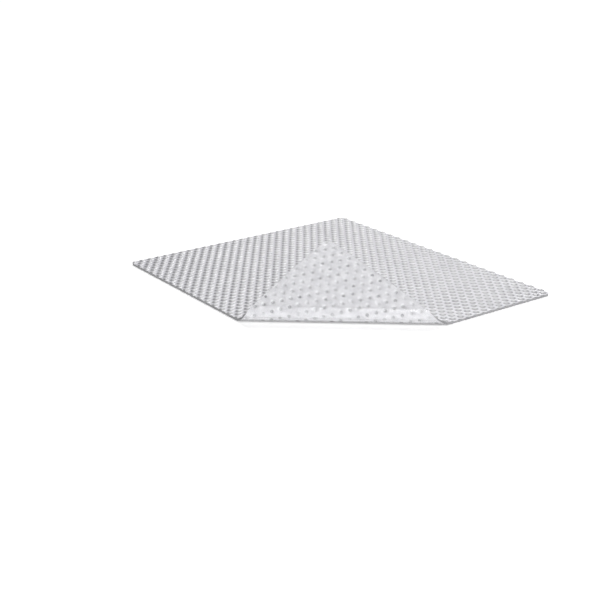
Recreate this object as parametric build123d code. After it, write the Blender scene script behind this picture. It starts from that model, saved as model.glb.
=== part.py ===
from build123d import *
import math
import os

# A thin moulded grip sheet with a bed of small studs, a coat of pressure-sensitive adhesive under it and a
# release liner under that. The sheet lies flat apart from one corner, which is rolled up and back over it.
# All sizes are in millimetres. The origin is at the middle of the flat sheet's underside, X runs across the
# sheet, Y along it and Z up. The rolled corner is the one at -X, -Y.

# Outline of the whole sheet, laid flat
SHEET_WIDTH = 127.0
SHEET_LENGTH = 152.4
CORNER_RADIUS = 2.5

# Layers, from the bottom up
LINER_THICKNESS = 0.08
ADHESIVE_THICKNESS = 0.12
GRIP_THICKNESS = 0.80

# Studs, moulded in one with the grip sheet on a centred grid
STUD_PITCH_X = 4.404
STUD_PITCH_Y = 6.195
STUD_FIRST_X = 0.92
STUD_FIRST_Y = 2.1
STUD_BASE_RADIUS = 1.45
STUD_TOP_RADIUS = 0.70
STUD_HEIGHT = 0.60
STUD_EDGE_MARGIN = 0.20

# Rolled corner: where the roll starts along the two edges, its outer radius and how far it turns
FOLD_CUT_LENGTH = 58.2
FOLD_CUT_WIDTH = 69.3
ROLL_RADIUS = 4.3
FOLD_TURN = 142.0
FOLD_STAGES = 2

HALF_WIDTH = SHEET_WIDTH / 2
HALF_LENGTH = SHEET_LENGTH / 2
LINER_TOP = LINER_THICKNESS
ADHESIVE_TOP = LINER_TOP + ADHESIVE_THICKNESS
GRIP_TOP = ADHESIVE_TOP + GRIP_THICKNESS
STAGE_TURN = FOLD_TURN / FOLD_STAGES

# The fold line runs from FOLD_LEFT on the long edge to FOLD_RIGHT on the short edge
FOLD_LEFT = Vector(-HALF_WIDTH, FOLD_CUT_LENGTH - HALF_LENGTH)
FOLD_RIGHT = Vector(FOLD_CUT_WIDTH - HALF_WIDTH, -HALF_LENGTH)
FOLD_SPAN = (FOLD_RIGHT - FOLD_LEFT).length
ALONG = (FOLD_RIGHT - FOLD_LEFT).normalized()
OUTWARD = Vector(ALONG.Y, -ALONG.X)
UP = Vector(0, 0, 1)

# The sheet keeps its length on the middle of its layers while it bends
NEUTRAL_RADIUS = ROLL_RADIUS - GRIP_TOP / 2
STAGE_ARC = NEUTRAL_RADIUS * math.radians(STAGE_TURN)
ROLL_ARC = STAGE_ARC * FOLD_STAGES
ROLL_AXIS = Axis(FOLD_LEFT + UP * ROLL_RADIUS, -ALONG)


def edge_points(distance):
    """The two points of the sheet's edges that are this far past the fold line, laid flat."""
    left = Vector(-HALF_WIDTH, FOLD_LEFT.Y + distance / OUTWARD.Y)
    right = Vector(FOLD_RIGHT.X + distance / OUTWARD.X, -HALF_LENGTH)
    return left, right


def rounded_outline(points, sharp):
    """A closed flat outline through the points, rounded at each corner that is not in sharp."""
    outline = Polyline(*points, close=True)
    face = make_face(outline)
    corners = [
        corner
        for corner in face.vertices()
        if all((Vector(*corner) - point).length > CORNER_RADIUS / 10 for point in sharp)
    ]
    return fillet(corners, CORNER_RADIUS).face()


def main_outline():
    """The flat part of the sheet, short of the fold line."""
    points = [
        FOLD_LEFT,
        FOLD_RIGHT,
        Vector(HALF_WIDTH, -HALF_LENGTH),
        Vector(HALF_WIDTH, HALF_LENGTH),
        Vector(-HALF_WIDTH, HALF_LENGTH),
    ]
    return rounded_outline(points, [FOLD_LEFT, FOLD_RIGHT])


def corner_outline():
    """The flat triangle past the roll, before it is turned over."""
    left, right = edge_points(ROLL_ARC)
    return rounded_outline([left, Vector(-HALF_WIDTH, -HALF_LENGTH), right], [left, right])


def turn_over(solid):
    """Carries a solid of the corner from its flat place round the roll to where it rests."""
    return solid.translate(OUTWARD * -ROLL_ARC).rotate(ROLL_AXIS, FOLD_TURN)


def layer(outline, bottom, top):
    """A flat layer between two heights."""
    return extrude(outline.moved(Location((0, 0, bottom))), amount=top - bottom).solid()


def stud_centres(outline):
    """The centres of the studs whose whole foot lies on the outline, clear of its edge."""
    room = STUD_BASE_RADIUS + STUD_EDGE_MARGIN
    field = offset(outline, amount=-room, kind=Kind.INTERSECTION).face()
    columns = math.ceil(SHEET_WIDTH / STUD_PITCH_X) + 1
    half_rows = math.ceil(2 * SHEET_LENGTH / STUD_PITCH_Y) + 1
    centres = []
    for row in range(half_rows):
        y = STUD_FIRST_Y - HALF_LENGTH + row * STUD_PITCH_Y / 2
        for column in range(columns):
            x = STUD_FIRST_X - HALF_WIDTH + (column + row % 2 / 2) * STUD_PITCH_X
            if field.is_inside(Vector(x, y), tolerance=1e-4):
                centres.append(Vector(x, y, GRIP_TOP))
    return centres


def studded_layer(outline, bottom, top):
    """A flat layer with the studs on its upper face, as one closed solid."""
    plain = layer(outline, bottom, top)
    upper = plain.faces().sort_by(Axis.Z)[-1]
    cone = Solid.make_cone(STUD_BASE_RADIUS, STUD_TOP_RADIUS, STUD_HEIGHT)
    stud_side = cone.faces().filter_by(GeomType.CONE)[0]
    stud_tip = cone.faces().filter_by(GeomType.PLANE).sort_by(Axis.Z)[-1]
    centres = stud_centres(outline)
    feet = [Wire([Edge.make_circle(STUD_BASE_RADIUS, Plane(centre))]) for centre in centres]
    skin = [face for face in plain.faces() if face.center().Z < upper.center().Z - 1e-6]
    skin.append(Face(upper.outer_wire(), feet))
    for centre in centres:
        place = Location(centre)
        skin.append(stud_side.moved(place))
        skin.append(stud_tip.moved(place))
    return Solid(Shell(skin))


def roll_spoke(turn):
    """The direction from the roll's axis to the sheet after this much turn, in degrees."""
    return OUTWARD * math.sin(math.radians(turn)) - UP * math.cos(math.radians(turn))


def roll_point(turn):
    """The point of the sheet's middle layer at the left end of the fold line after this much turn."""
    return FOLD_LEFT + UP * ROLL_RADIUS + roll_spoke(turn) * NEUTRAL_RADIUS


def roll_strip(bottom, top, stage):
    """One stage of the roll, between two layer heights, cut off where the sheet's edges wrap round it."""
    across = Plane(origin=FOLD_RIGHT + UP * ROLL_RADIUS, x_dir=OUTWARD, z_dir=-ALONG)
    start = stage * STAGE_TURN - 90
    sector = [
        CenterArc((0, 0), ROLL_RADIUS - bottom, start, STAGE_TURN),
        CenterArc((0, 0), ROLL_RADIUS - top, start, STAGE_TURN),
    ]
    sector.append(Line(sector[0] @ 0, sector[1] @ 0))
    sector.append(Line(sector[0] @ 1, sector[1] @ 1))
    profile = make_face(sector)
    strip = extrude(across * profile, amount=FOLD_SPAN).solid()
    for side in (0, 1):
        strip = cut_end(strip, stage, side)
    return strip


def cut_end(strip, stage, side):
    """Cuts one end of a roll strip by the plane through where the sheet's edge enters and leaves the stage.

    The plane is square to the sheet where the stage meets the flat pad or the flat corner. A second cut keeps
    the strip inside the outline of the sheet.
    """
    near, far = [
        (edge_points(distance)[side] - FOLD_LEFT).dot(ALONG)
        for distance in (stage * STAGE_ARC, (stage + 1) * STAGE_ARC)
    ]
    start = roll_point(stage * STAGE_TURN) + ALONG * near
    end = roll_point((stage + 1) * STAGE_TURN) + ALONG * far
    inwards = (end - start).cross(roll_spoke(stage * FOLD_TURN)).normalized()
    if (inwards.dot(ALONG) < 0) == (side == 0):
        inwards = -inwards
    fold_end, into_sheet = ((FOLD_LEFT, Vector(1, 0, 0)), (FOLD_RIGHT, Vector(0, 1, 0)))[side]
    for cut in (Plane(origin=start, z_dir=inwards), Plane(origin=fold_end, z_dir=into_sheet)):
        strip = split(strip, bisect_by=cut, keep=Keep.TOP).solid()
    return strip


def make_pieces():
    """Every solid of the pad under the name of its node."""
    main = main_outline()
    corner = corner_outline()
    pieces = {
        "release_liner": layer(main, 0, LINER_TOP),
        "adhesive_layer": layer(main, LINER_TOP, ADHESIVE_TOP),
        "grip_sheet": studded_layer(main, ADHESIVE_TOP, GRIP_TOP),
        "corner_liner": turn_over(layer(corner, 0, LINER_TOP)),
        "corner_adhesive": turn_over(layer(corner, LINER_TOP, ADHESIVE_TOP)),
        "corner_grip": turn_over(studded_layer(corner, ADHESIVE_TOP, GRIP_TOP)),
    }
    for stage, name in enumerate(("lower", "upper")):
        pieces[f"{name}_roll_liner"] = roll_strip(0, LINER_TOP, stage)
        pieces[f"{name}_roll_adhesive"] = roll_strip(LINER_TOP, ADHESIVE_TOP, stage)
        pieces[f"{name}_roll_grip"] = roll_strip(ADHESIVE_TOP, GRIP_TOP, stage)
    return pieces


def bend_axes():
    """A point on the axis of each stage's hinge, which lays that stage's arc out flat at its full length."""
    half_turn = math.radians(STAGE_TURN) / 2
    reach = STAGE_ARC / 2 / math.sin(half_turn)
    first = UP * (ROLL_RADIUS - reach * math.cos(half_turn)) + OUTWARD * reach * math.sin(half_turn)
    points = []
    for stage in range(FOLD_STAGES):
        turn = math.radians(stage * STAGE_TURN)
        from_hub = first - UP * ROLL_RADIUS
        outward, up = from_hub.dot(OUTWARD), from_hub.Z
        turned = OUTWARD * (outward * math.cos(turn) - up * math.sin(turn))
        turned += UP * (outward * math.sin(turn) + up * math.cos(turn) + ROLL_RADIUS)
        points.append(FOLD_LEFT + ALONG * (FOLD_SPAN / 2) + turned)
    return points


os.makedirs("parts", exist_ok=True)
for node, solid in make_pieces().items():
    export_step(solid, f"parts/{node}.step")
for number, point in enumerate(bend_axes()):
    print("bend axis", number, [round(value, 4) for value in point], [round(-value, 6) for value in ALONG])
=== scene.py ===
"""A snowboard stomp pad: a thin clear sheet studded for grip, backed with adhesive and a liner film.

The pad lies flat and its front corner is rolled up and back over it. Each layer is modelled flat as one
laminate, cut at the roll into four pieces and then carried round the roll. Sizes are in metres, in the frame
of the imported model: the pad's underside is at Z = 0, X runs across it and Y along it.
"""

from __future__ import annotations

import logging
import math
from dataclasses import dataclass
from enum import Enum

import bpy
from mathutils import Matrix, Vector

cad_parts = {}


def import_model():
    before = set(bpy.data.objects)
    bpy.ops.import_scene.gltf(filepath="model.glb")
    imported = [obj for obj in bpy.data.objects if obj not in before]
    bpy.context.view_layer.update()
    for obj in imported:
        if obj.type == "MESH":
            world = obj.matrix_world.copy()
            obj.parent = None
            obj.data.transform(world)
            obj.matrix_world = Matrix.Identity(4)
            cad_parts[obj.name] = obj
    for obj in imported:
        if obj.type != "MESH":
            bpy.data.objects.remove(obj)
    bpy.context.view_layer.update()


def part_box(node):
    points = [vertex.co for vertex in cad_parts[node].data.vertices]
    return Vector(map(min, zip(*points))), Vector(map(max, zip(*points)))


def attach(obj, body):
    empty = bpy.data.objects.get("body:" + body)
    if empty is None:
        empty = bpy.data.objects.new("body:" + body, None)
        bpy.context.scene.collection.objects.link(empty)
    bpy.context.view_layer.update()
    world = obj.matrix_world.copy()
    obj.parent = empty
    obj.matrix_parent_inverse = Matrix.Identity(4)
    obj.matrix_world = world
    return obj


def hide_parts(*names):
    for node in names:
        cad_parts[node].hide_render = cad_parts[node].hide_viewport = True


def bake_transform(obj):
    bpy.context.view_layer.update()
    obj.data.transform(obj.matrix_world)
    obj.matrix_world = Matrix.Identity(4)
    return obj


LOG = logging.getLogger("stomp_pad")

Colour = tuple[float, float, float]
Stops = tuple[tuple[float, Colour], ...]

# Lengths, in metres.
MM = 0.001
WELD = 2e-6
CUT = 1e-7

# Shares of a size, and angles in radians.
OVERSIZE = 1.1
WALL_SLOPE = 0.05
RIM_NUDGE = 0.01
SMOOTH_ANGLE = math.radians(48.0)

# Names of the pieces' own maps and attributes.
FLAT_MAP = "laid_flat"
RELIEF = "relief"
PIT = "pit"
# Attribute for the painted shade where the sheet turns up off the floor.
PAINTED_ROLL_SHADE = "painted_roll_shade"

# Sockets of a Mix node that mixes colours.
MIX_SHARE = 0
MIX_FIRST = 6
MIX_SECOND = 7
MIX_COLOUR = 2

PIT_RINGS = ((0.66, 0.62),)
PLAIN_WHITE: Colour = (1.0, 1.0, 1.0)


class Zone(Enum):
    """The four parts that each layer is cut into where the corner rolls."""

    FLAT = "flat"
    LOWER = "lower_roll"
    UPPER = "upper_roll"
    CORNER = "corner"


class Side(Enum):
    """The side of a cutting plane that is kept."""

    AHEAD = "ahead"
    BEHIND = "behind"


def select_nothing() -> None:
    """Deselects everything."""
    bpy.ops.object.select_all(action="DESELECT")


def leave() -> None:
    """Goes back to object mode."""
    bpy.ops.object.mode_set(mode="OBJECT")


def select_only(*objects: bpy.types.Object) -> None:
    """Selects these objects alone and makes the first one active.

    Args:
        objects: The objects to select.
    """
    if bpy.context.object is not None and bpy.context.object.mode != "OBJECT":
        leave()
    select_nothing()
    for obj in objects:
        obj.select_set(True)
    bpy.context.view_layer.objects.active = objects[0]


def edit(obj: bpy.types.Object, mode: str = "VERT", pick: str = "DESELECT") -> None:
    """Opens an object in edit mode.

    Args:
        obj: The mesh object.
        mode: VERT, EDGE or FACE selection.
        pick: SELECT or DESELECT, for everything in the mesh.
    """
    select_only(obj)
    bpy.ops.object.mode_set(mode="EDIT")
    bpy.ops.mesh.select_mode(type=mode)
    bpy.ops.mesh.select_all(action=pick)


def pick_vertices(obj: bpy.types.Object, chosen: list[int]) -> None:
    """Selects some vertices of an object that is in edit mode.

    Args:
        obj: The mesh object.
        chosen: The indices of the vertices.
    """
    leave()
    for index in chosen:
        obj.data.vertices[index].select = True
    bpy.ops.object.mode_set(mode="EDIT")


def weld(obj: bpy.types.Object) -> None:
    """Merges doubled vertices and turns every face outwards.

    Args:
        obj: The mesh object.
    """
    edit(obj, pick="SELECT")
    bpy.ops.mesh.remove_doubles(threshold=WELD)
    bpy.ops.mesh.normals_make_consistent(inside=False)
    leave()


def cut(obj: bpy.types.Object, point: Vector, normal: Vector, keep: Side | None) -> None:
    """Cuts a closed mesh by a plane and closes the cut.

    Args:
        obj: The mesh object.
        point: A point on the plane.
        normal: The plane's normal.
        keep: The side that is kept, or None to score the mesh and keep both.
    """
    edit(obj, pick="SELECT")
    bpy.ops.mesh.bisect(
        plane_co=point,
        plane_no=normal,
        use_fill=keep is not None,
        clear_inner=keep is Side.AHEAD,
        clear_outer=keep is Side.BEHIND,
        threshold=CUT,
    )
    leave()


def array(obj: bpy.types.Object, count: int, step: Vector) -> None:
    """Repeats a mesh in a row and applies the result.

    Args:
        obj: The mesh object.
        count: The number of copies in all.
        step: The distance from one copy to the next.
    """
    select_only(obj)
    modifier = obj.modifiers.new("row", "ARRAY")
    modifier.use_relative_offset = False
    modifier.use_constant_offset = True
    modifier.constant_offset_displace = step
    modifier.count = count
    modifier.use_merge_vertices = True
    modifier.merge_threshold = WELD
    bpy.ops.object.modifier_apply(modifier=modifier.name)


def duplicate(obj: bpy.types.Object, name: str) -> bpy.types.Object:
    """Copies an object with a mesh of its own.

    Args:
        obj: The object to copy.
        name: The copy's name.

    Returns:
        The copy.
    """
    select_only(obj)
    bpy.ops.object.duplicate()
    copy = bpy.context.object
    copy.name = copy.data.name = name
    return copy


def remove(obj: bpy.types.Object) -> None:
    """Deletes an object.

    Args:
        obj: The object.
    """
    select_only(obj)
    bpy.ops.object.delete()


@dataclass(frozen=True)
class Roll:
    """The roll that carries the corner up and back over the pad, and the corner's slight curl past it."""

    left: Vector
    right: Vector
    reach: float
    radius: float = 4.3 * MM
    half_thickness: float = 0.5 * MM
    packed_turn: float = math.radians(142.0)
    turn: float = math.radians(139.5)
    curl: float = math.radians(9.7)
    scores: int = 11
    curl_scores: int = 17
    # Where the painted shade at the foot of the roll starts to fade, and over how much turn it fades.
    painted_roll_shade_start: float = math.radians(36.0)
    painted_roll_shade_fade: float = math.radians(22.0)

    @property
    def along(self) -> Vector:
        """The direction of the fold line."""
        return (self.right - self.left).normalized()

    @property
    def outward(self) -> Vector:
        """The level direction across the fold line, towards the corner."""
        return Vector((self.along.y, -self.along.x, 0.0))

    @property
    def arc(self) -> float:
        """The length of laminate in the roll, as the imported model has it."""
        return (self.radius - self.half_thickness) * self.packed_turn

    @property
    def folded_area(self) -> float:
        """The area of the corner past the fold line, laid flat."""
        return self.reach * (self.right - self.left).length / 2

    @property
    def curl_radius(self) -> float:
        """The radius of the corner's curl past the roll."""
        return (self.reach - self.arc) / self.curl

    def band(self, zone: Zone) -> tuple[float | None, float | None]:
        """Where a zone starts and ends.

        Args:
            zone: The zone.

        Returns:
            Its start and end past the fold line, laid flat, or None where it has no cut.
        """
        return {
            Zone.FLAT: (None, 0.0),
            Zone.LOWER: (0.0, self.arc / 2),
            Zone.UPPER: (self.arc / 2, self.arc),
            Zone.CORNER: (self.arc, None),
        }[zone]

    def section(self, across: float) -> tuple[float, float, float]:
        """The middle of the laminate in the plane across the fold line.

        Args:
            across: The distance past the fold line, laid flat.

        Returns:
            The level distance past the fold line, the height and the turn there.
        """
        bend = self.arc / self.turn
        turn = min(across, self.arc) / bend
        level = bend * math.sin(turn)
        height = self.half_thickness + bend * (1.0 - math.cos(turn))
        if across > self.arc:
            after = turn + (across - self.arc) / self.curl_radius
            level += self.curl_radius * (math.sin(after) - math.sin(turn))
            height += self.curl_radius * (math.cos(turn) - math.cos(after))
            turn = after
        return level, height, turn

    def place(self, flat: Vector) -> Vector:
        """Carries a point of the flat laminate to where it rests.

        Args:
            flat: The point with the laminate laid flat.

        Returns:
            The point with the corner rolled.
        """
        offset = flat - self.left
        across = offset.dot(self.outward)
        if across <= 0.0:
            return flat.copy()
        level, height, turn = self.section(across)
        above = flat.z - self.half_thickness
        edge = self.left + self.along * offset.dot(self.along)
        rise = Vector((0.0, 0.0, height + above * math.cos(turn)))
        return Vector((edge.x, edge.y, 0.0)) + self.outward * (level - above * math.sin(turn)) + rise

    def painted_roll_shade(self, flat: Vector) -> float:
        """How strongly painted shade darkens the clear sheet where it turns up off the floor.

        Args:
            flat: A point with the laminate laid flat.

        Returns:
            A value from 0 to 1.
        """
        turn = (flat - self.left).dot(self.outward) / self.arc * self.turn
        if turn <= 0.0:
            return 0.0
        return max(0.0, min(1.0, 1.0 - (turn - self.painted_roll_shade_start) / self.painted_roll_shade_fade))

    def middle(self, share: float) -> Vector:
        """A point on the middle of the laminate, half way along the fold line.

        Args:
            share: How far round the roll, from 0 to 1.

        Returns:
            The point.
        """
        flat = (self.left + self.right) / 2 + self.outward * (self.arc * share)
        return self.place(Vector((flat.x, flat.y, self.half_thickness)))

    def apply(self, obj: bpy.types.Object) -> None:
        """Rolls a mesh that was modelled flat.

        Args:
            obj: The mesh object.
        """
        for vertex in obj.data.vertices:
            vertex.co = self.place(vertex.co)
        obj.data.update()


@dataclass(frozen=True)
class Outline:
    """The pad's die-cut outline, laid flat."""

    width: float
    length: float
    corner_radius: float = 2.5 * MM
    corner_cuts: int = 4

    def trim(self, obj: bpy.types.Object) -> None:
        """Cuts an oversize slab to the outline.

        Args:
            obj: The slab's object.
        """
        half = Vector((self.width / 2, self.length / 2, 0.0))
        for normal in (Vector((1, 0, 0)), Vector((0, 1, 0)), Vector((-1, 0, 0)), Vector((0, -1, 0))):
            cut(obj, half * normal, normal, Side.BEHIND)
        for corner in (Vector((1, 1, 0)), Vector((-1, 1, 0)), Vector((-1, -1, 0)), Vector((1, -1, 0))):
            hub = half * corner - corner * self.corner_radius
            for step in range(self.corner_cuts):
                angle = (step + 0.5) / self.corner_cuts * math.pi / 2
                normal = Vector((math.cos(angle), math.sin(angle), 0.0)) * corner
                cut(obj, hub + normal * self.corner_radius, normal, Side.BEHIND)


@dataclass(frozen=True)
class Dome:
    """A raised stud or a pit, as rings of (share of the foot's radius, share of the rise) up to its crown."""

    foot: float
    rise: float
    rings: tuple[tuple[float, float], ...]


@dataclass(frozen=True)
class StudGrid:
    """The centred grid of studs, modelled as one six-sided cell and repeated."""

    pitch_x: float = 4.404 * MM
    pitch_y: float = 6.195 * MM
    first_x: float = 0.92 * MM
    first_y: float = 2.10 * MM
    sides: int = 12
    stud: Dome = Dome(foot=1.60 * MM, rise=0.52 * MM, rings=((0.80, 0.40), (0.48, 0.84)))
    pit: Dome = Dome(foot=1.08 * MM, rise=0.50 * MM, rings=PIT_RINGS)

    def cell_edge(self) -> list[Vector]:
        """The points round the edge of one cell, half way between a stud and its six neighbours.

        Returns:
            One point for each side of the stud's foot, anticlockwise from +X.
        """
        half_x, half_y = self.pitch_x / 2, self.pitch_y / 2
        reach = (half_x**2 + half_y**2) / 2
        side_y, tip_y = (reach - half_x**2) / half_y, reach / half_y
        quarter = [(half_x, 0.0), (half_x, side_y), (half_x / 2, (side_y + tip_y) / 2)]
        upper = [*quarter, (0.0, tip_y), *((-x, y) for x, y in reversed(quarter))]
        lower = [(x, -y) for x, y in reversed(upper[1:-1])]
        return [Vector((x, y, 0.0)) for x, y in (*upper, *lower)]

    def model_cell(self, name: str, dome: Dome, attribute: str) -> bpy.types.Object:
        """Models one cell: a level rim with a dome in its middle.

        Args:
            name: The object's name.
            dome: The dome's shape.
            attribute: The attribute that records how far up the dome each vertex is.

        Returns:
            The cell's object, centred on the origin.
        """
        bpy.ops.mesh.primitive_circle_add(vertices=self.sides, radius=dome.foot)
        cell = bpy.context.object
        cell.name = cell.data.name = name
        foot = list(range(self.sides))
        edit(cell, mode="EDGE", pick="SELECT")
        bpy.ops.mesh.extrude_edges_move()
        leave()
        vertices = cell.data.vertices
        rim = [vertex.index for vertex in vertices if vertex.select]
        rim.sort(
            key=lambda index: (math.atan2(vertices[index].co.y, vertices[index].co.x) + RIM_NUDGE) % math.tau
        )
        for index, corner in zip(rim, self.cell_edge()):
            vertices[index].co = corner
        edit(cell)
        pick_vertices(cell, foot)
        share, rise = 1.0, 0.0
        for next_share, next_rise in dome.rings:
            bpy.ops.mesh.extrude_edges_move()
            scale = next_share / share
            bpy.ops.transform.resize(value=(scale, scale, 1.0), center_override=(0.0, 0.0, 0.0))
            bpy.ops.transform.translate(value=(0.0, 0.0, (next_rise - rise) * dome.rise))
            share, rise = next_share, next_rise
        bpy.ops.mesh.edge_face_add()
        bpy.ops.mesh.poke(offset=0.0)
        leave()
        cell.data.vertices[-1].co = (0.0, 0.0, dome.rise)
        share_of_rise = cell.data.attributes.new(attribute, "FLOAT", "POINT")
        for vertex in cell.data.vertices:
            share_of_rise.data[vertex.index].value = vertex.co.z / dome.rise
        return cell

    def model_skin(
        self, name: str, dome: Dome, attribute: str, outline: Outline, height: float
    ) -> bpy.types.Object:
        """Repeats one cell into a skin that is a little larger than the pad.

        Args:
            name: The object's name.
            dome: The dome in each cell.
            attribute: The attribute that records how far up the dome each vertex is.
            outline: The pad's outline.
            height: The height of the cell's level rim.

        Returns:
            The skin's object.
        """
        skin = self.model_cell(name, dome, attribute)
        between = duplicate(skin, name + "_between")
        bpy.ops.transform.translate(value=(self.pitch_x / 2, self.pitch_y / 2, 0.0))
        bpy.ops.object.transform_apply(location=True)
        select_only(skin, between)
        bpy.ops.object.join()
        array(skin, math.ceil(outline.width / self.pitch_x) + 2, Vector((self.pitch_x, 0.0, 0.0)))
        array(skin, math.ceil(outline.length / self.pitch_y) + 2, Vector((0.0, self.pitch_y, 0.0)))
        start_x = self.first_x - self.pitch_x - outline.width / 2
        start_y = self.first_y - self.pitch_y - outline.length / 2
        select_only(skin)
        bpy.ops.transform.translate(value=(start_x, start_y, height))
        bpy.ops.object.transform_apply(location=True)
        edit(skin, pick="SELECT")
        bpy.ops.mesh.remove_doubles(threshold=WELD)
        leave()
        return skin

    def model_slab(self, name: str, outline: Outline, bottom: float, top: float) -> bpy.types.Object:
        """Models a closed slab with studs above and pits below, cut to the outline.

        Args:
            name: The object's name.
            outline: The pad's outline.
            bottom: The height of the underside.
            top: The height of the face between the studs.

        Returns:
            The slab's object.
        """
        slab = self.model_skin(name, self.stud, RELIEF, outline, top)
        edit(slab, mode="EDGE")
        bpy.ops.mesh.select_non_manifold()
        bpy.ops.mesh.extrude_edges_move(TRANSFORM_OT_translate={"value": (0.0, 0.0, bottom - top)})
        leave()
        under = self.model_skin(name + "_under", self.pit, PIT, outline, bottom)
        select_only(slab, under)
        bpy.ops.object.join()
        weld(slab)
        outline.trim(slab)
        return slab


@dataclass(frozen=True)
class Nodes:
    """The node tree of one material, with short ways to add the nodes that the finishes share."""

    material: bpy.types.Material

    @classmethod
    def start(cls, name: str) -> Nodes:
        """Makes a new material.

        Args:
            name: The material's name.

        Returns:
            Its node tree.
        """
        material = bpy.data.materials.new(name)
        material.use_nodes = True
        return cls(material)

    @property
    def shader(self) -> bpy.types.Node:
        """The material's shader."""
        return self.material.node_tree.nodes["Principled BSDF"]

    def add(self, kind: str, **settings: object) -> bpy.types.Node:
        """Adds a node.

        Args:
            kind: The node's type.
            settings: The properties to set on it.

        Returns:
            The node.
        """
        node = self.material.node_tree.nodes.new(kind)
        for name, value in settings.items():
            setattr(node, name, value)
        return node

    def join(self, source: bpy.types.NodeSocket, target: bpy.types.NodeSocket) -> None:
        """Links two sockets."""
        self.material.node_tree.links.new(source, target)

    def set(self, **values: object) -> None:
        """Sets constant values on the shader's own sockets.

        Args:
            values: The sockets' names, with underscores for spaces, and their values.
        """
        for name, value in values.items():
            self.shader.inputs[name.replace("_", " ")].default_value = value

    def flat_place(
        self, stretch: tuple[float, float, float] = (1.0, 1.0, 1.0)
    ) -> bpy.types.NodeSocket:
        """The place on the laminate as laid flat, in metres.

        Args:
            stretch: The scale of each axis.

        Returns:
            The vector.
        """
        place = self.add("ShaderNodeUVMap", uv_map=FLAT_MAP)
        mapping = self.add("ShaderNodeMapping")
        mapping.inputs["Scale"].default_value = stretch
        self.join(place.outputs["UV"], mapping.inputs["Vector"])
        return mapping.outputs["Vector"]

    def object_place(self) -> bpy.types.NodeSocket:
        """The place in the piece's own frame, in metres."""
        return self.add("ShaderNodeTexCoord").outputs["Object"]

    def noise(
        self, place: bpy.types.NodeSocket, size: float, detail: float = 2.0
    ) -> bpy.types.NodeSocket:
        """A soft random pattern.

        Args:
            place: The vector that it is read at.
            size: The size of its spots.
            detail: How many finer steps it has.

        Returns:
            Its value, from 0 to 1.
        """
        node = self.add("ShaderNodeTexNoise")
        node.inputs["Scale"].default_value = 1.0 / size
        node.inputs["Detail"].default_value = detail
        self.join(place, node.inputs["Vector"])
        return node.outputs["Fac"]

    def attribute(self, name: str) -> bpy.types.NodeSocket:
        """The value of one of the piece's own attributes."""
        return self.add("ShaderNodeAttribute", attribute_name=name).outputs["Fac"]

    def ramp(self, value: bpy.types.NodeSocket, stops: Stops) -> bpy.types.NodeSocket:
        """A colour for each value.

        Args:
            value: The value.
            stops: The positions and their colours.

        Returns:
            The colour.
        """
        node = self.add("ShaderNodeValToRGB")
        while len(node.color_ramp.elements) < len(stops):
            node.color_ramp.elements.new(0.5)
        for element, (position, colour) in zip(node.color_ramp.elements, stops):
            element.position = position
            element.color = (*colour, 1.0)
        self.join(value, node.inputs["Fac"])
        return node.outputs["Color"]

    def tone(self, value: bpy.types.NodeSocket, low: float, high: float) -> bpy.types.NodeSocket:
        """Maps a value that runs from 0 to 1 to another range.

        Args:
            value: The value.
            low: The result at 0.
            high: The result at 1.

        Returns:
            The result.
        """
        node = self.add("ShaderNodeMapRange")
        node.inputs["To Min"].default_value = low
        node.inputs["To Max"].default_value = high
        self.join(value, node.inputs["Value"])
        return node.outputs["Result"]

    def mix(
        self, share: bpy.types.NodeSocket, first: bpy.types.NodeSocket, colour: Colour
    ) -> bpy.types.NodeSocket:
        """Goes from one colour to a plain one.

        Args:
            share: How far, from 0 to 1.
            first: The colour at 0.
            colour: The plain colour at 1.

        Returns:
            The colour.
        """
        node = self.add("ShaderNodeMix", data_type="RGBA")
        self.join(share, node.inputs[MIX_SHARE])
        self.join(first, node.inputs[MIX_FIRST])
        node.inputs[MIX_SECOND].default_value = (*colour, 1.0)
        return node.outputs[MIX_COLOUR]

    def multiply(
        self, first: bpy.types.NodeSocket, second: bpy.types.NodeSocket
    ) -> bpy.types.NodeSocket:
        """One colour multiplied by another.

        Args:
            first: The one colour.
            second: The other colour.

        Returns:
            The colour.
        """
        node = self.add("ShaderNodeMix", data_type="RGBA", blend_type="MULTIPLY")
        node.inputs[MIX_SHARE].default_value = 1.0
        self.join(first, node.inputs[MIX_FIRST])
        self.join(second, node.inputs[MIX_SECOND])
        return node.outputs[MIX_COLOUR]

    def bump(
        self, height: bpy.types.NodeSocket, depth: float, under: bpy.types.Node | None = None
    ) -> bpy.types.Node:
        """Raises the surface by a pattern, in the shading only.

        Args:
            height: The pattern, from 0 to 1.
            depth: How high 1 stands.
            under: A bump that this one is laid on.

        Returns:
            The bump node, joined to the shader.
        """
        node = self.add("ShaderNodeBump")
        node.inputs["Distance"].default_value = depth
        self.join(height, node.inputs["Height"])
        if under is not None:
            self.join(under.outputs["Normal"], node.inputs["Normal"])
        self.join(node.outputs["Normal"], self.shader.inputs["Normal"])
        return node


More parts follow.
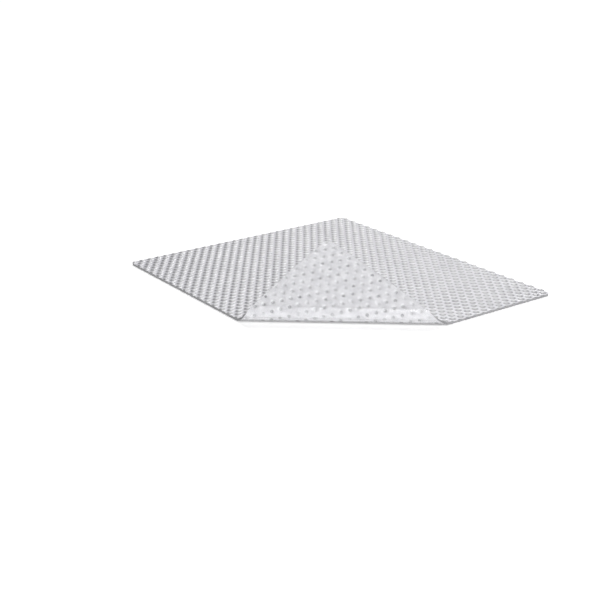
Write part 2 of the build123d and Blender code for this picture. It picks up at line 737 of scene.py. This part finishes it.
@dataclass(frozen=True)
class GripFinish:
    """Clear moulded vinyl, coloured by stud height: bright between the studs, with painted shade on the
    studs' flanks and a painted highlight on their crowns.
    """

    name: str = "clear_moulded_vinyl"
    # Painted shade and highlight by stud height: bright between the studs, darker on the flanks, lighter on
    # the crowns.
    painted_relief_shade_stops: Stops = (
        (0.00, (0.620, 0.615, 0.650)),
        (0.25, (0.375, 0.372, 0.387)),
        (0.62, (0.315, 0.315, 0.327)),
        (1.00, (0.430, 0.430, 0.443)),
    )
    cloud_size: float = 16 * MM
    cloud_stops: Stops = ((0.30, (0.90, 0.90, 0.91)), (0.70, PLAIN_WHITE))
    mottle_size: float = 2.2 * MM
    mottle_stops: Stops = ((0.30, (0.93, 0.93, 0.93)), (0.70, PLAIN_WHITE))
    mottle_depth: float = 0.05 * MM
    grain_size: float = 0.25 * MM
    grain_depth: float = 0.006 * MM
    smoothest: float = 0.30
    roughest: float = 0.50

    def make(self) -> bpy.types.Material:
        """Makes the material.

        Returns:
            The material.
        """
        nodes = Nodes.start(self.name)
        place = nodes.flat_place()
        cloud = nodes.noise(place, self.cloud_size)
        mottle = nodes.noise(place, self.mottle_size, detail=3.0)
        grain = nodes.noise(place, self.grain_size)
        # Colour by stud height, with painted shade on the flanks and a painted highlight on the crowns.
        relief = nodes.ramp(nodes.attribute(RELIEF), self.painted_relief_shade_stops)
        clouds = nodes.ramp(cloud, self.cloud_stops)
        mottles = nodes.ramp(mottle, self.mottle_stops)
        colour = nodes.multiply(relief, nodes.multiply(clouds, mottles))
        nodes.join(colour, nodes.shader.inputs["Base Color"])
        nodes.join(nodes.tone(mottle, self.smoothest, self.roughest), nodes.shader.inputs["Roughness"])
        soft = nodes.bump(mottle, self.mottle_depth)
        nodes.bump(grain, self.grain_depth, soft)
        nodes.set(IOR=1.50, Coat_Weight=0.3, Coat_Roughness=0.22, Coat_IOR=1.5)
        return nodes.material


@dataclass(frozen=True)
class AdhesiveFinish:
    """Clear pressure-sensitive adhesive on the back, milky, with painted shade where it runs down into the
    pits, a painted highlight round their rims, and painted shade where the sheet turns up off the floor.
    """

    name: str = "clear_adhesive"
    # Painted shade down into the pits, with a bright painted highlight round their rims.
    painted_pit_shade_stops: Stops = (
        (0.00, (0.88, 0.88, 0.905)),
        (0.20, PLAIN_WHITE),
        (0.50, (0.34, 0.34, 0.36)),
        (1.00, (0.10, 0.10, 0.11)),
    )
    fill_size: float = 4.5 * MM
    fill_low: float = -0.2
    fill_high: float = 1.5
    # Painted shade where the sheet turns up off the floor at the roll.
    painted_roll_shade_stops: Stops = ((0.0, PLAIN_WHITE), (1.0, (0.38, 0.38, 0.38)))
    cloud_size: float = 3.4 * MM
    cloud_stops: Stops = ((0.32, (0.84, 0.84, 0.85)), (0.66, PLAIN_WHITE))
    cloud_depth: float = 0.35 * MM
    streak_size: float = 0.8 * MM
    streak_stretch: tuple[float, float, float] = (0.12, 1.0, 1.0)
    streak_stops: Stops = ((0.30, (0.95, 0.95, 0.95)), (0.70, PLAIN_WHITE))
    speck_size: float = 0.4 * MM
    speck_depth: float = 0.01 * MM
    smoothest: float = 0.18
    roughest: float = 0.36

    def make(self) -> bpy.types.Material:
        """Makes the material.

        Returns:
            The material.
        """
        nodes = Nodes.start(self.name)
        place = nodes.flat_place()
        cloud = nodes.noise(place, self.cloud_size)
        streak = nodes.noise(nodes.flat_place(self.streak_stretch), self.streak_size, detail=3.0)
        specks = nodes.noise(place, self.speck_size)
        fill = nodes.noise(place, self.fill_size, detail=1.0)
        filled = nodes.tone(fill, self.fill_low, self.fill_high)
        # Painted pit shade and rim highlight, faded out at random by the fill pattern.
        pit = nodes.ramp(nodes.attribute(PIT), self.painted_pit_shade_stops)
        pit = nodes.mix(filled, pit, self.painted_pit_shade_stops[0][1])
        # Painted shade at the foot of the roll.
        painted_roll_shade = nodes.ramp(nodes.attribute(PAINTED_ROLL_SHADE), self.painted_roll_shade_stops)
        clouds = nodes.ramp(cloud, self.cloud_stops)
        streaks = nodes.ramp(streak, self.streak_stops)
        colour = nodes.multiply(nodes.multiply(pit, painted_roll_shade), nodes.multiply(clouds, streaks))
        nodes.join(colour, nodes.shader.inputs["Base Color"])
        nodes.join(nodes.tone(specks, self.smoothest, self.roughest), nodes.shader.inputs["Roughness"])
        soft = nodes.bump(cloud, self.cloud_depth)
        nodes.bump(specks, self.speck_depth, soft)
        nodes.set(IOR=1.47, Coat_Weight=0.35, Coat_Roughness=0.10, Coat_IOR=1.5)
        return nodes.material


@dataclass(frozen=True)
class EdgeFinish:
    """The die-cut edge of the clear layers, coloured dark grey as painted shade, since the clear edge looks
    dark from the side.
    """

    name: str = "clear_cut_edge"
    cut_size: float = 0.9 * MM
    # Painted shade: the clear cut edge is coloured dark grey.
    painted_edge_shade_stops: Stops = ((0.30, (0.25, 0.25, 0.26)), (0.70, (0.38, 0.38, 0.39)))
    grain_size: float = 0.2 * MM
    grain_depth: float = 0.02 * MM
    smoothest: float = 0.30
    roughest: float = 0.50

    def make(self) -> bpy.types.Material:
        """Makes the material.

        Returns:
            The material.
        """
        nodes = Nodes.start(self.name)
        place = nodes.object_place()
        cuts = nodes.noise(place, self.cut_size)
        grain = nodes.noise(place, self.grain_size)
        # Dark grey painted shade on the cut edge.
        nodes.join(nodes.ramp(cuts, self.painted_edge_shade_stops), nodes.shader.inputs["Base Color"])
        nodes.join(nodes.tone(grain, self.smoothest, self.roughest), nodes.shader.inputs["Roughness"])
        nodes.bump(grain, self.grain_depth)
        nodes.set(IOR=1.5)
        return nodes.material


@dataclass(frozen=True)
class FilmFinish:
    """Clear glossy liner film, slightly wavy, with faint drawn lines."""

    name: str = "clear_liner_film"
    opacity: float = 0.08
    wave_size: float = 7 * MM
    wave_stretch: tuple[float, float, float] = (1.0, 0.45, 1.0)
    wave_depth: float = 0.45 * MM
    line_size: float = 0.5 * MM
    line_stretch: tuple[float, float, float] = (0.05, 1.0, 1.0)
    line_stops: Stops = ((0.30, (0.86, 0.86, 0.88)), (0.70, (0.93, 0.93, 0.95)))
    line_depth: float = 0.004 * MM
    smoothest: float = 0.06
    roughest: float = 0.14

    def make(self) -> bpy.types.Material:
        """Makes the material.

        Returns:
            The material.
        """
        nodes = Nodes.start(self.name)
        wave = nodes.noise(nodes.flat_place(self.wave_stretch), self.wave_size, detail=1.0)
        lines = nodes.noise(nodes.flat_place(self.line_stretch), self.line_size, detail=3.0)
        nodes.join(nodes.ramp(lines, self.line_stops), nodes.shader.inputs["Base Color"])
        nodes.join(nodes.tone(lines, self.smoothest, self.roughest), nodes.shader.inputs["Roughness"])
        slow = nodes.bump(wave, self.wave_depth)
        nodes.bump(lines, self.line_depth, slow)
        nodes.set(IOR=1.57, Alpha=self.opacity, Coat_Weight=1.0, Coat_Roughness=0.04, Coat_IOR=1.57)
        return nodes.material


def dress(piece: bpy.types.Object, materials: list[bpy.types.Material]) -> None:
    """Gives a flat piece one material on its faces and another on its cut edge.

    Args:
        piece: The piece, still flat.
        materials: The two materials.
    """
    piece.data.materials.clear()
    for material in materials:
        piece.data.materials.append(material)
    for face in piece.data.polygons:
        face.material_index = 1 if abs(face.normal.z) < WALL_SLOPE else 0


class Relief(Enum):
    """What stands out of a layer's faces."""

    STUDS = "studs"
    PLAIN = "plain"


@dataclass(frozen=True)
class Layer:
    """One layer of the laminate, modelled flat and cut into a piece for each zone."""

    name: str
    slot: str
    whole_node: str
    relief: Relief
    bottom: float
    top: float
    finish: GripFinish | AdhesiveFinish | FilmFinish
    studs: StudGrid = StudGrid()

    def node(self, zone: Zone) -> str:
        """The CAD node that this layer's piece of a zone stands for."""
        return self.whole_node if zone is Zone.FLAT else f"{zone.value}_{self.slot}"

    def model(self, outline: Outline) -> bpy.types.Object:
        """Models the layer whole and flat.

        Args:
            outline: The pad's outline.

        Returns:
            The layer's object.
        """
        if self.relief is Relief.STUDS:
            return self.studs.model_slab(self.name, outline, self.bottom, self.top)
        bpy.ops.mesh.primitive_cube_add(size=1.0, location=(0.0, 0.0, (self.bottom + self.top) / 2))
        slab = bpy.context.object
        slab.name = slab.data.name = self.name
        width, length = outline.width * OVERSIZE, outline.length * OVERSIZE
        bpy.ops.transform.resize(value=(width, length, self.top - self.bottom))
        bpy.ops.object.transform_apply(location=True, scale=True)
        outline.trim(slab)
        return slab

    def mark(self, piece: bpy.types.Object, roll: Roll) -> None:
        """Records each vertex's place on the flat laminate, and how strongly painted shade darkens the sheet
        there.

        Args:
            piece: The piece, still flat.
            roll: The pad's roll.
        """
        mesh = piece.data
        flat_map = mesh.uv_layers.new(name=FLAT_MAP)
        for corner, place in zip(mesh.loops, flat_map.data):
            place.uv = mesh.vertices[corner.vertex_index].co.xy
        # Share of painted shade at the foot of the roll, for each vertex.
        painted_roll_shade = mesh.attributes.new(PAINTED_ROLL_SHADE, "FLOAT", "POINT")
        for vertex in mesh.vertices:
            painted_roll_shade.data[vertex.index].value = roll.painted_roll_shade(vertex.co)

    def cut_zone(
        self, whole: bpy.types.Object, zone: Zone, roll: Roll, materials: list[bpy.types.Material]
    ) -> bpy.types.Object:
        """Cuts one zone's piece from the flat layer, dresses it and carries it round the roll.

        Args:
            whole: The whole flat layer.
            zone: The zone.
            roll: The pad's roll.
            materials: The material of the layer's faces and that of its cut edge.

        Returns:
            The piece at rest.
        """
        piece = duplicate(whole, f"{self.name}_{zone.value}")
        start, end = roll.band(zone)
        if start is not None:
            cut(piece, roll.left + roll.outward * start, roll.outward, Side.AHEAD)
        if end is not None:
            cut(piece, roll.left + roll.outward * end, roll.outward, Side.BEHIND)
        scores = roll.scores if zone in (Zone.LOWER, Zone.UPPER) else 0
        if zone is Zone.CORNER and self.relief is Relief.PLAIN:
            scores, end = roll.curl_scores, roll.reach
        for step in range(scores):
            across = start + (end - start) * (step + 1) / (scores + 1)
            cut(piece, roll.left + roll.outward * across, roll.outward, None)
        weld(piece)
        self.mark(piece, roll)
        dress(piece, materials)
        roll.apply(piece)
        select_only(piece)
        bpy.ops.object.shade_smooth_by_angle(angle=SMOOTH_ANGLE)
        return piece


@dataclass
class Pad:
    """The whole stomp pad: its layers, its roll and how its pieces move."""

    outline: Outline
    roll: Roll
    film: Layer
    adhesive: Layer
    grip: Layer

    @classmethod
    def from_frame(cls) -> Pad:
        """Takes the pad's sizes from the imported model.

        Returns:
            The pad.
        """
        low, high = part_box("release_liner")
        roll_low, roll_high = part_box("lower_roll_liner")
        left = Vector((roll_low[0], roll_high[1], 0.0))
        right = Vector((roll_high[0], roll_low[1], 0.0))
        outline = Outline(high[0] - low[0], high[1] - low[1])
        corner = Vector((-outline.width / 2, -outline.length / 2, 0.0))
        along = (right - left).normalized()
        reach = (corner - left).dot(Vector((along.y, -along.x, 0.0)))
        return cls(
            outline=outline,
            roll=Roll(left, right, reach),
            film=Layer(
                name="liner_film",
                slot="liner",
                whole_node="release_liner",
                relief=Relief.PLAIN,
                bottom=0.0,
                top=0.075 * MM,
                finish=FilmFinish(),
            ),
            adhesive=Layer(
                name="adhesive_coat",
                slot="adhesive",
                whole_node="adhesive_layer",
                relief=Relief.STUDS,
                bottom=0.085 * MM,
                top=0.19 * MM,
                finish=AdhesiveFinish(),
                studs=StudGrid(
                    stud=Dome(foot=1.04 * MM, rise=0.42 * MM, rings=PIT_RINGS),
                    pit=Dome(foot=0.98 * MM, rise=0.42 * MM, rings=PIT_RINGS),
                ),
            ),
            grip=Layer(
                name="studded_sheet",
                slot="grip",
                whole_node="grip_sheet",
                relief=Relief.STUDS,
                bottom=0.20 * MM,
                top=1.0 * MM,
                finish=GripFinish(),
            ),
        )

    def build(self) -> None:
        """Builds every layer's pieces, dresses them and fixes them to the frame."""
        edge = EdgeFinish().make()
        for layer in (self.film, self.adhesive, self.grip):
            whole = layer.model(self.outline)
            materials = [layer.finish.make(), edge]
            for zone in Zone:
                piece = layer.cut_zone(whole, zone, self.roll, materials)
                self.fix(piece, zone)
                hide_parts(layer.node(zone))
                LOG.info("%s: %d faces", piece.name, len(piece.data.polygons))
            remove(whole)

    def fix(self, piece: bpy.types.Object, zone: Zone) -> None:
        """Fixes a flat or corner piece to the body it moves with, and bakes a roll piece in place.

        Args:
            piece: The piece.
            zone: The piece's zone.
        """
        if zone is Zone.FLAT:
            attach(piece, "pad")
        elif zone is Zone.LOWER:
            self.roll.middle(0.0)
            self.roll.middle(0.5)
            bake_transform(piece)
        elif zone is Zone.UPPER:
            self.roll.middle(0.5)
            self.roll.middle(1.0)
            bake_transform(piece)
        else:
            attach(piece, "corner")


@dataclass(frozen=True)
class Lamp:
    """One soft studio lamp, aimed at the pad."""

    name: str
    place: tuple[float, float, float]
    width: float
    length: float
    power: float

    def hang(self) -> None:
        """Adds the lamp to the scene."""
        bpy.ops.object.light_add(type="AREA", location=self.place)
        lamp = bpy.context.object
        lamp.name = self.name
        lamp.data.shape = "RECTANGLE"
        lamp.data.size = self.width
        lamp.data.size_y = self.length
        lamp.data.energy = self.power
        lamp.rotation_euler = (-Vector(self.place)).to_track_quat("-Z", "Y").to_euler()


@dataclass(frozen=True)
class Studio:
    """A pale floor, soft light all round and the camera."""

    floor_size: float = 6.0
    floor_drop: float = 0.05 * MM
    floor_colour: Colour = (0.93, 0.93, 0.93)
    floor_glow: float = 0.3
    sky_high: float = 1.45
    sky_low: float = 0.82
    sky_side: tuple[float, float, float] = (0.4, 0.6, 0.6)
    lamps: tuple[Lamp, ...] = (
        Lamp("key_lamp", place=(0.8, 0.8, 1.1), width=0.9, length=0.9, power=20.0),
        Lamp("fill_lamp", place=(-0.3, -1.2, 1.1), width=1.2, length=1.2, power=23.0),
    )
    aim: tuple[float, float, float] = (-0.0277, -0.0143, 0.0)
    distance: float = 0.5282
    azimuth: float = math.radians(-34.78)
    elevation: float = math.radians(19.95)
    tilt: float = math.radians(-0.857)
    lens: float = 72.24
    sensor: float = 36.0
    clip: float = 0.01

    def lay_floor(self) -> None:
        """Lays the pale floor just under the pad."""
        select_nothing()
        bpy.ops.mesh.primitive_plane_add(size=self.floor_size, location=(0.0, 0.0, -self.floor_drop))
        floor = bpy.context.object
        floor.name = "studio_floor"
        bpy.ops.object.transform_apply(location=True)
        nodes = Nodes.start("pale_floor")
        pale = (*self.floor_colour, 1.0)
        nodes.set(Base_Color=pale, Roughness=0.85, Specular_IOR_Level=0.1)
        nodes.set(Emission_Color=pale, Emission_Strength=self.floor_glow)
        floor.data.materials.append(nodes.material)

    def light(self) -> None:
        """Lights the scene."""
        world = bpy.data.worlds.new("studio_sky")
        world.use_nodes = True
        tree = world.node_tree
        background = tree.nodes["Background"]
        direction = tree.nodes.new("ShaderNodeTexCoord")
        towards = tree.nodes.new("ShaderNodeVectorMath")
        towards.operation = "DOT_PRODUCT"
        towards.inputs[1].default_value = Vector(self.sky_side).normalized()
        glow = tree.nodes.new("ShaderNodeMapRange")
        glow.inputs["From Min"].default_value = -1.0
        glow.inputs["To Min"].default_value = self.sky_low
        glow.inputs["To Max"].default_value = self.sky_high
        tree.links.new(direction.outputs["Generated"], towards.inputs[0])
        tree.links.new(towards.outputs["Value"], glow.inputs["Value"])
        tree.links.new(glow.outputs["Result"], background.inputs["Strength"])
        bpy.context.scene.world = world
        bpy.context.scene.view_settings.view_transform = "Standard"
        for lamp in self.lamps:
            lamp.hang()

    def set_camera(self) -> None:
        """Sets the camera at its viewing angle."""
        level = Vector((math.sin(self.azimuth), -math.cos(self.azimuth), 0.0)) * math.cos(self.elevation)
        back = level + Vector((0.0, 0.0, math.sin(self.elevation)))
        right = Vector((0.0, 0.0, 1.0)).cross(back).normalized()
        turn = Matrix.Rotation(self.tilt, 3, back)
        right = turn @ right
        up = back.cross(right)
        bpy.ops.object.camera_add()
        camera = bpy.context.object
        camera.name = "camera"
        camera.data.lens = self.lens
        camera.data.sensor_width = self.sensor
        camera.data.clip_start = self.clip
        place = Vector(self.aim) + back * self.distance
        camera.matrix_world = Matrix.Translation(place) @ Matrix((right, up, back)).transposed().to_4x4()
        bpy.context.scene.camera = camera


def main() -> None:
    """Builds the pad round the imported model, then the studio."""
    logging.basicConfig(level=logging.INFO, format="%(name)s: %(message)s")
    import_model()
    select_nothing()
    Pad.from_frame().build()
    studio = Studio()
    studio.lay_floor()
    studio.light()
    studio.set_camera()


if __name__ == "__main__":
    main()
